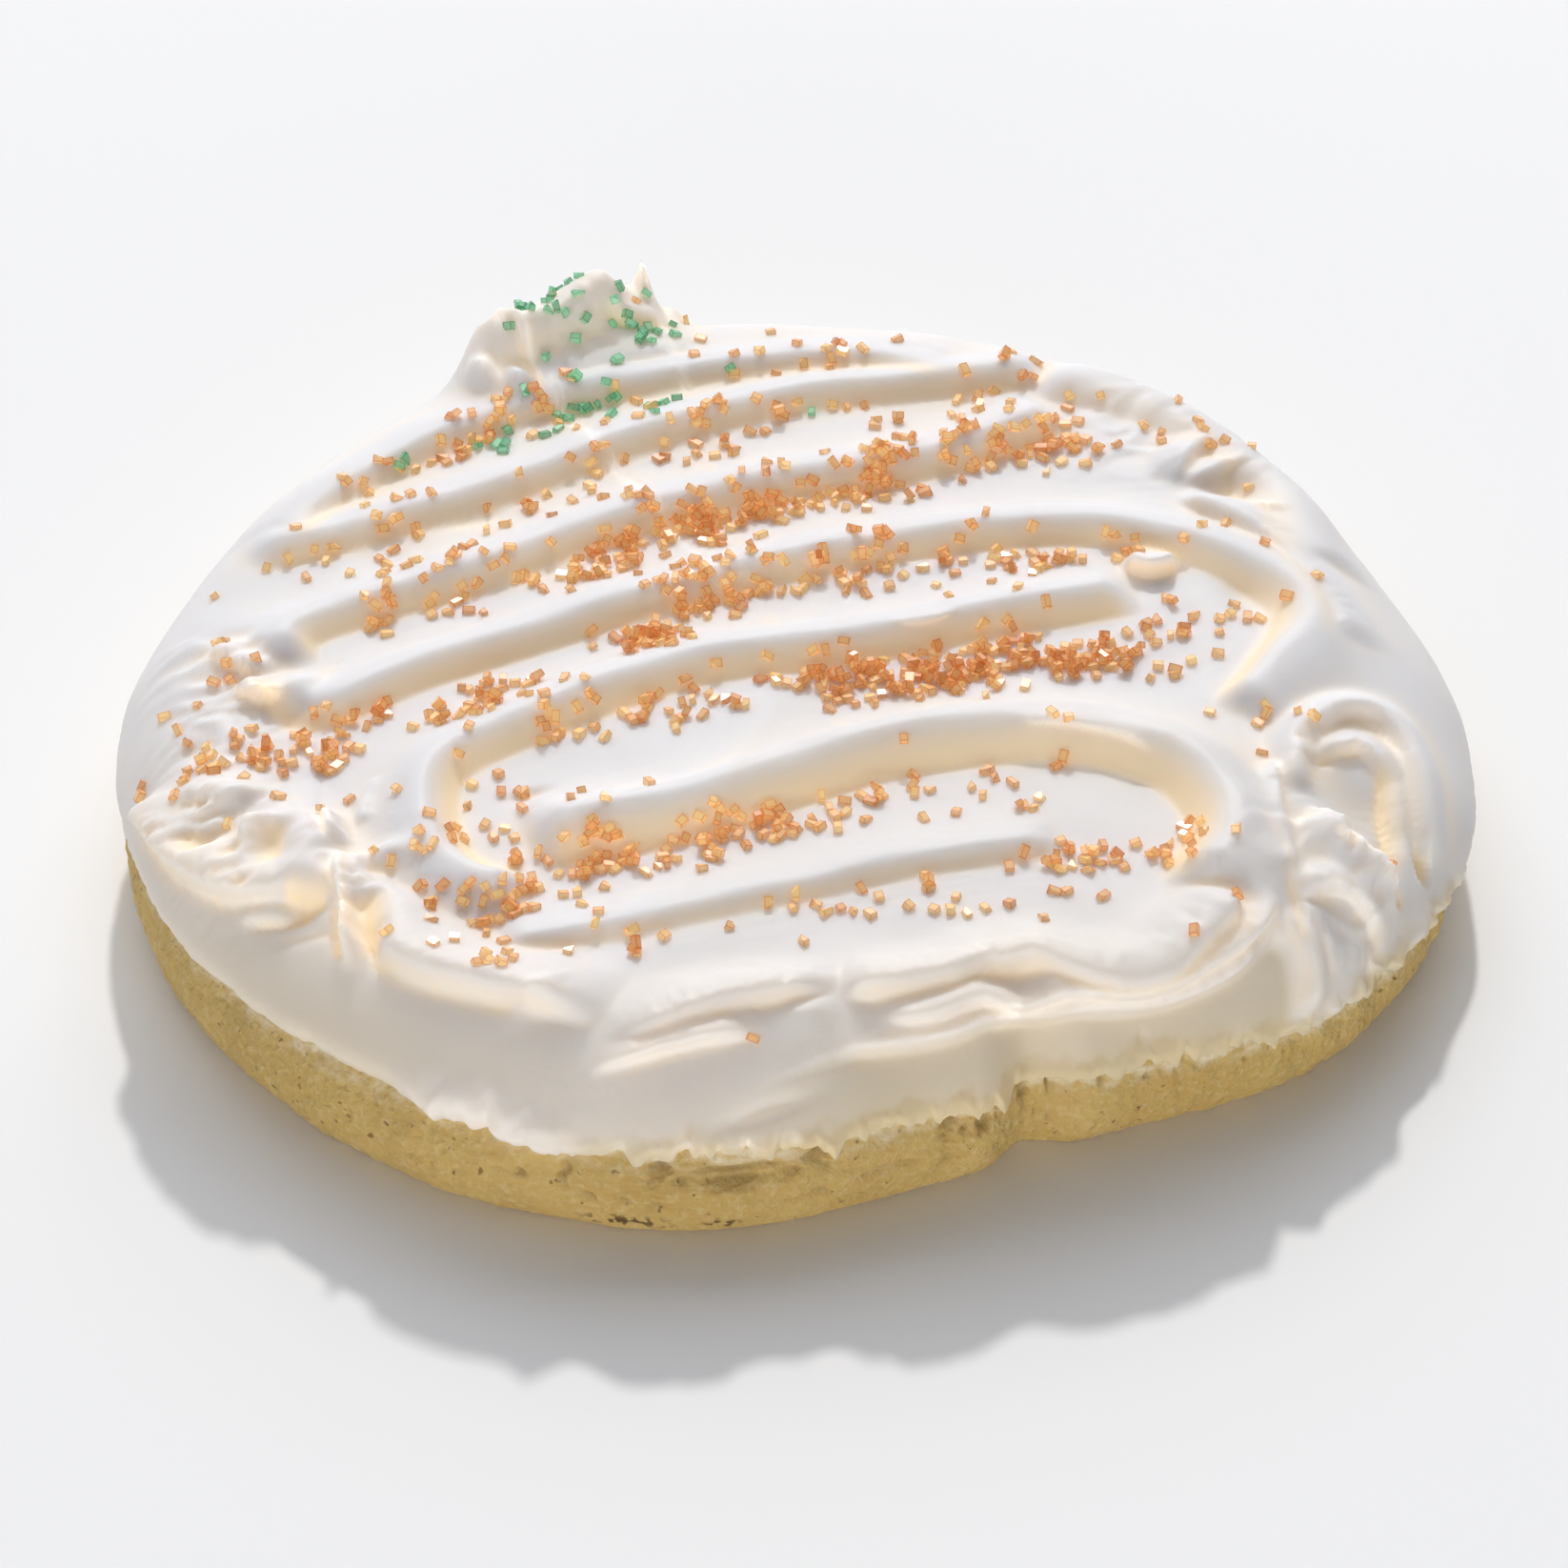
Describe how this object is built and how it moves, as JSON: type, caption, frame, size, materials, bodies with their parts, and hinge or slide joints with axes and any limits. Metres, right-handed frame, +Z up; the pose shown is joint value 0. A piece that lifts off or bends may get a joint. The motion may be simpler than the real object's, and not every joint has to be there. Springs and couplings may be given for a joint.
{
  "type": "iced sugar cookie",
  "caption": "Thick round sugar cookie with a short stem and a shallow notch, spread with ridged white buttercream and scattered with orange and green sugar crystals.",
  "frame": {"origin": "centre of the bounding box in plan, on the flat underside the cookie rests on", "axes": "+Z up through the icing, +Y towards the stem, -Y towards the notch, +X to the right seen from the notch side"},
  "size_m": [0.0956, 0.0932, 0.0188],
  "materials": {
    "baked_dough": "matt pale baked crumb, stands in for sugar cookie dough",
    "buttercream": "soft satin, stands in for buttercream with sugar crystals"
  },
  "bodies": {
    "root": {"biscuit": "baked_dough", "icing": "buttercream"}
  },
  "joints": []
}
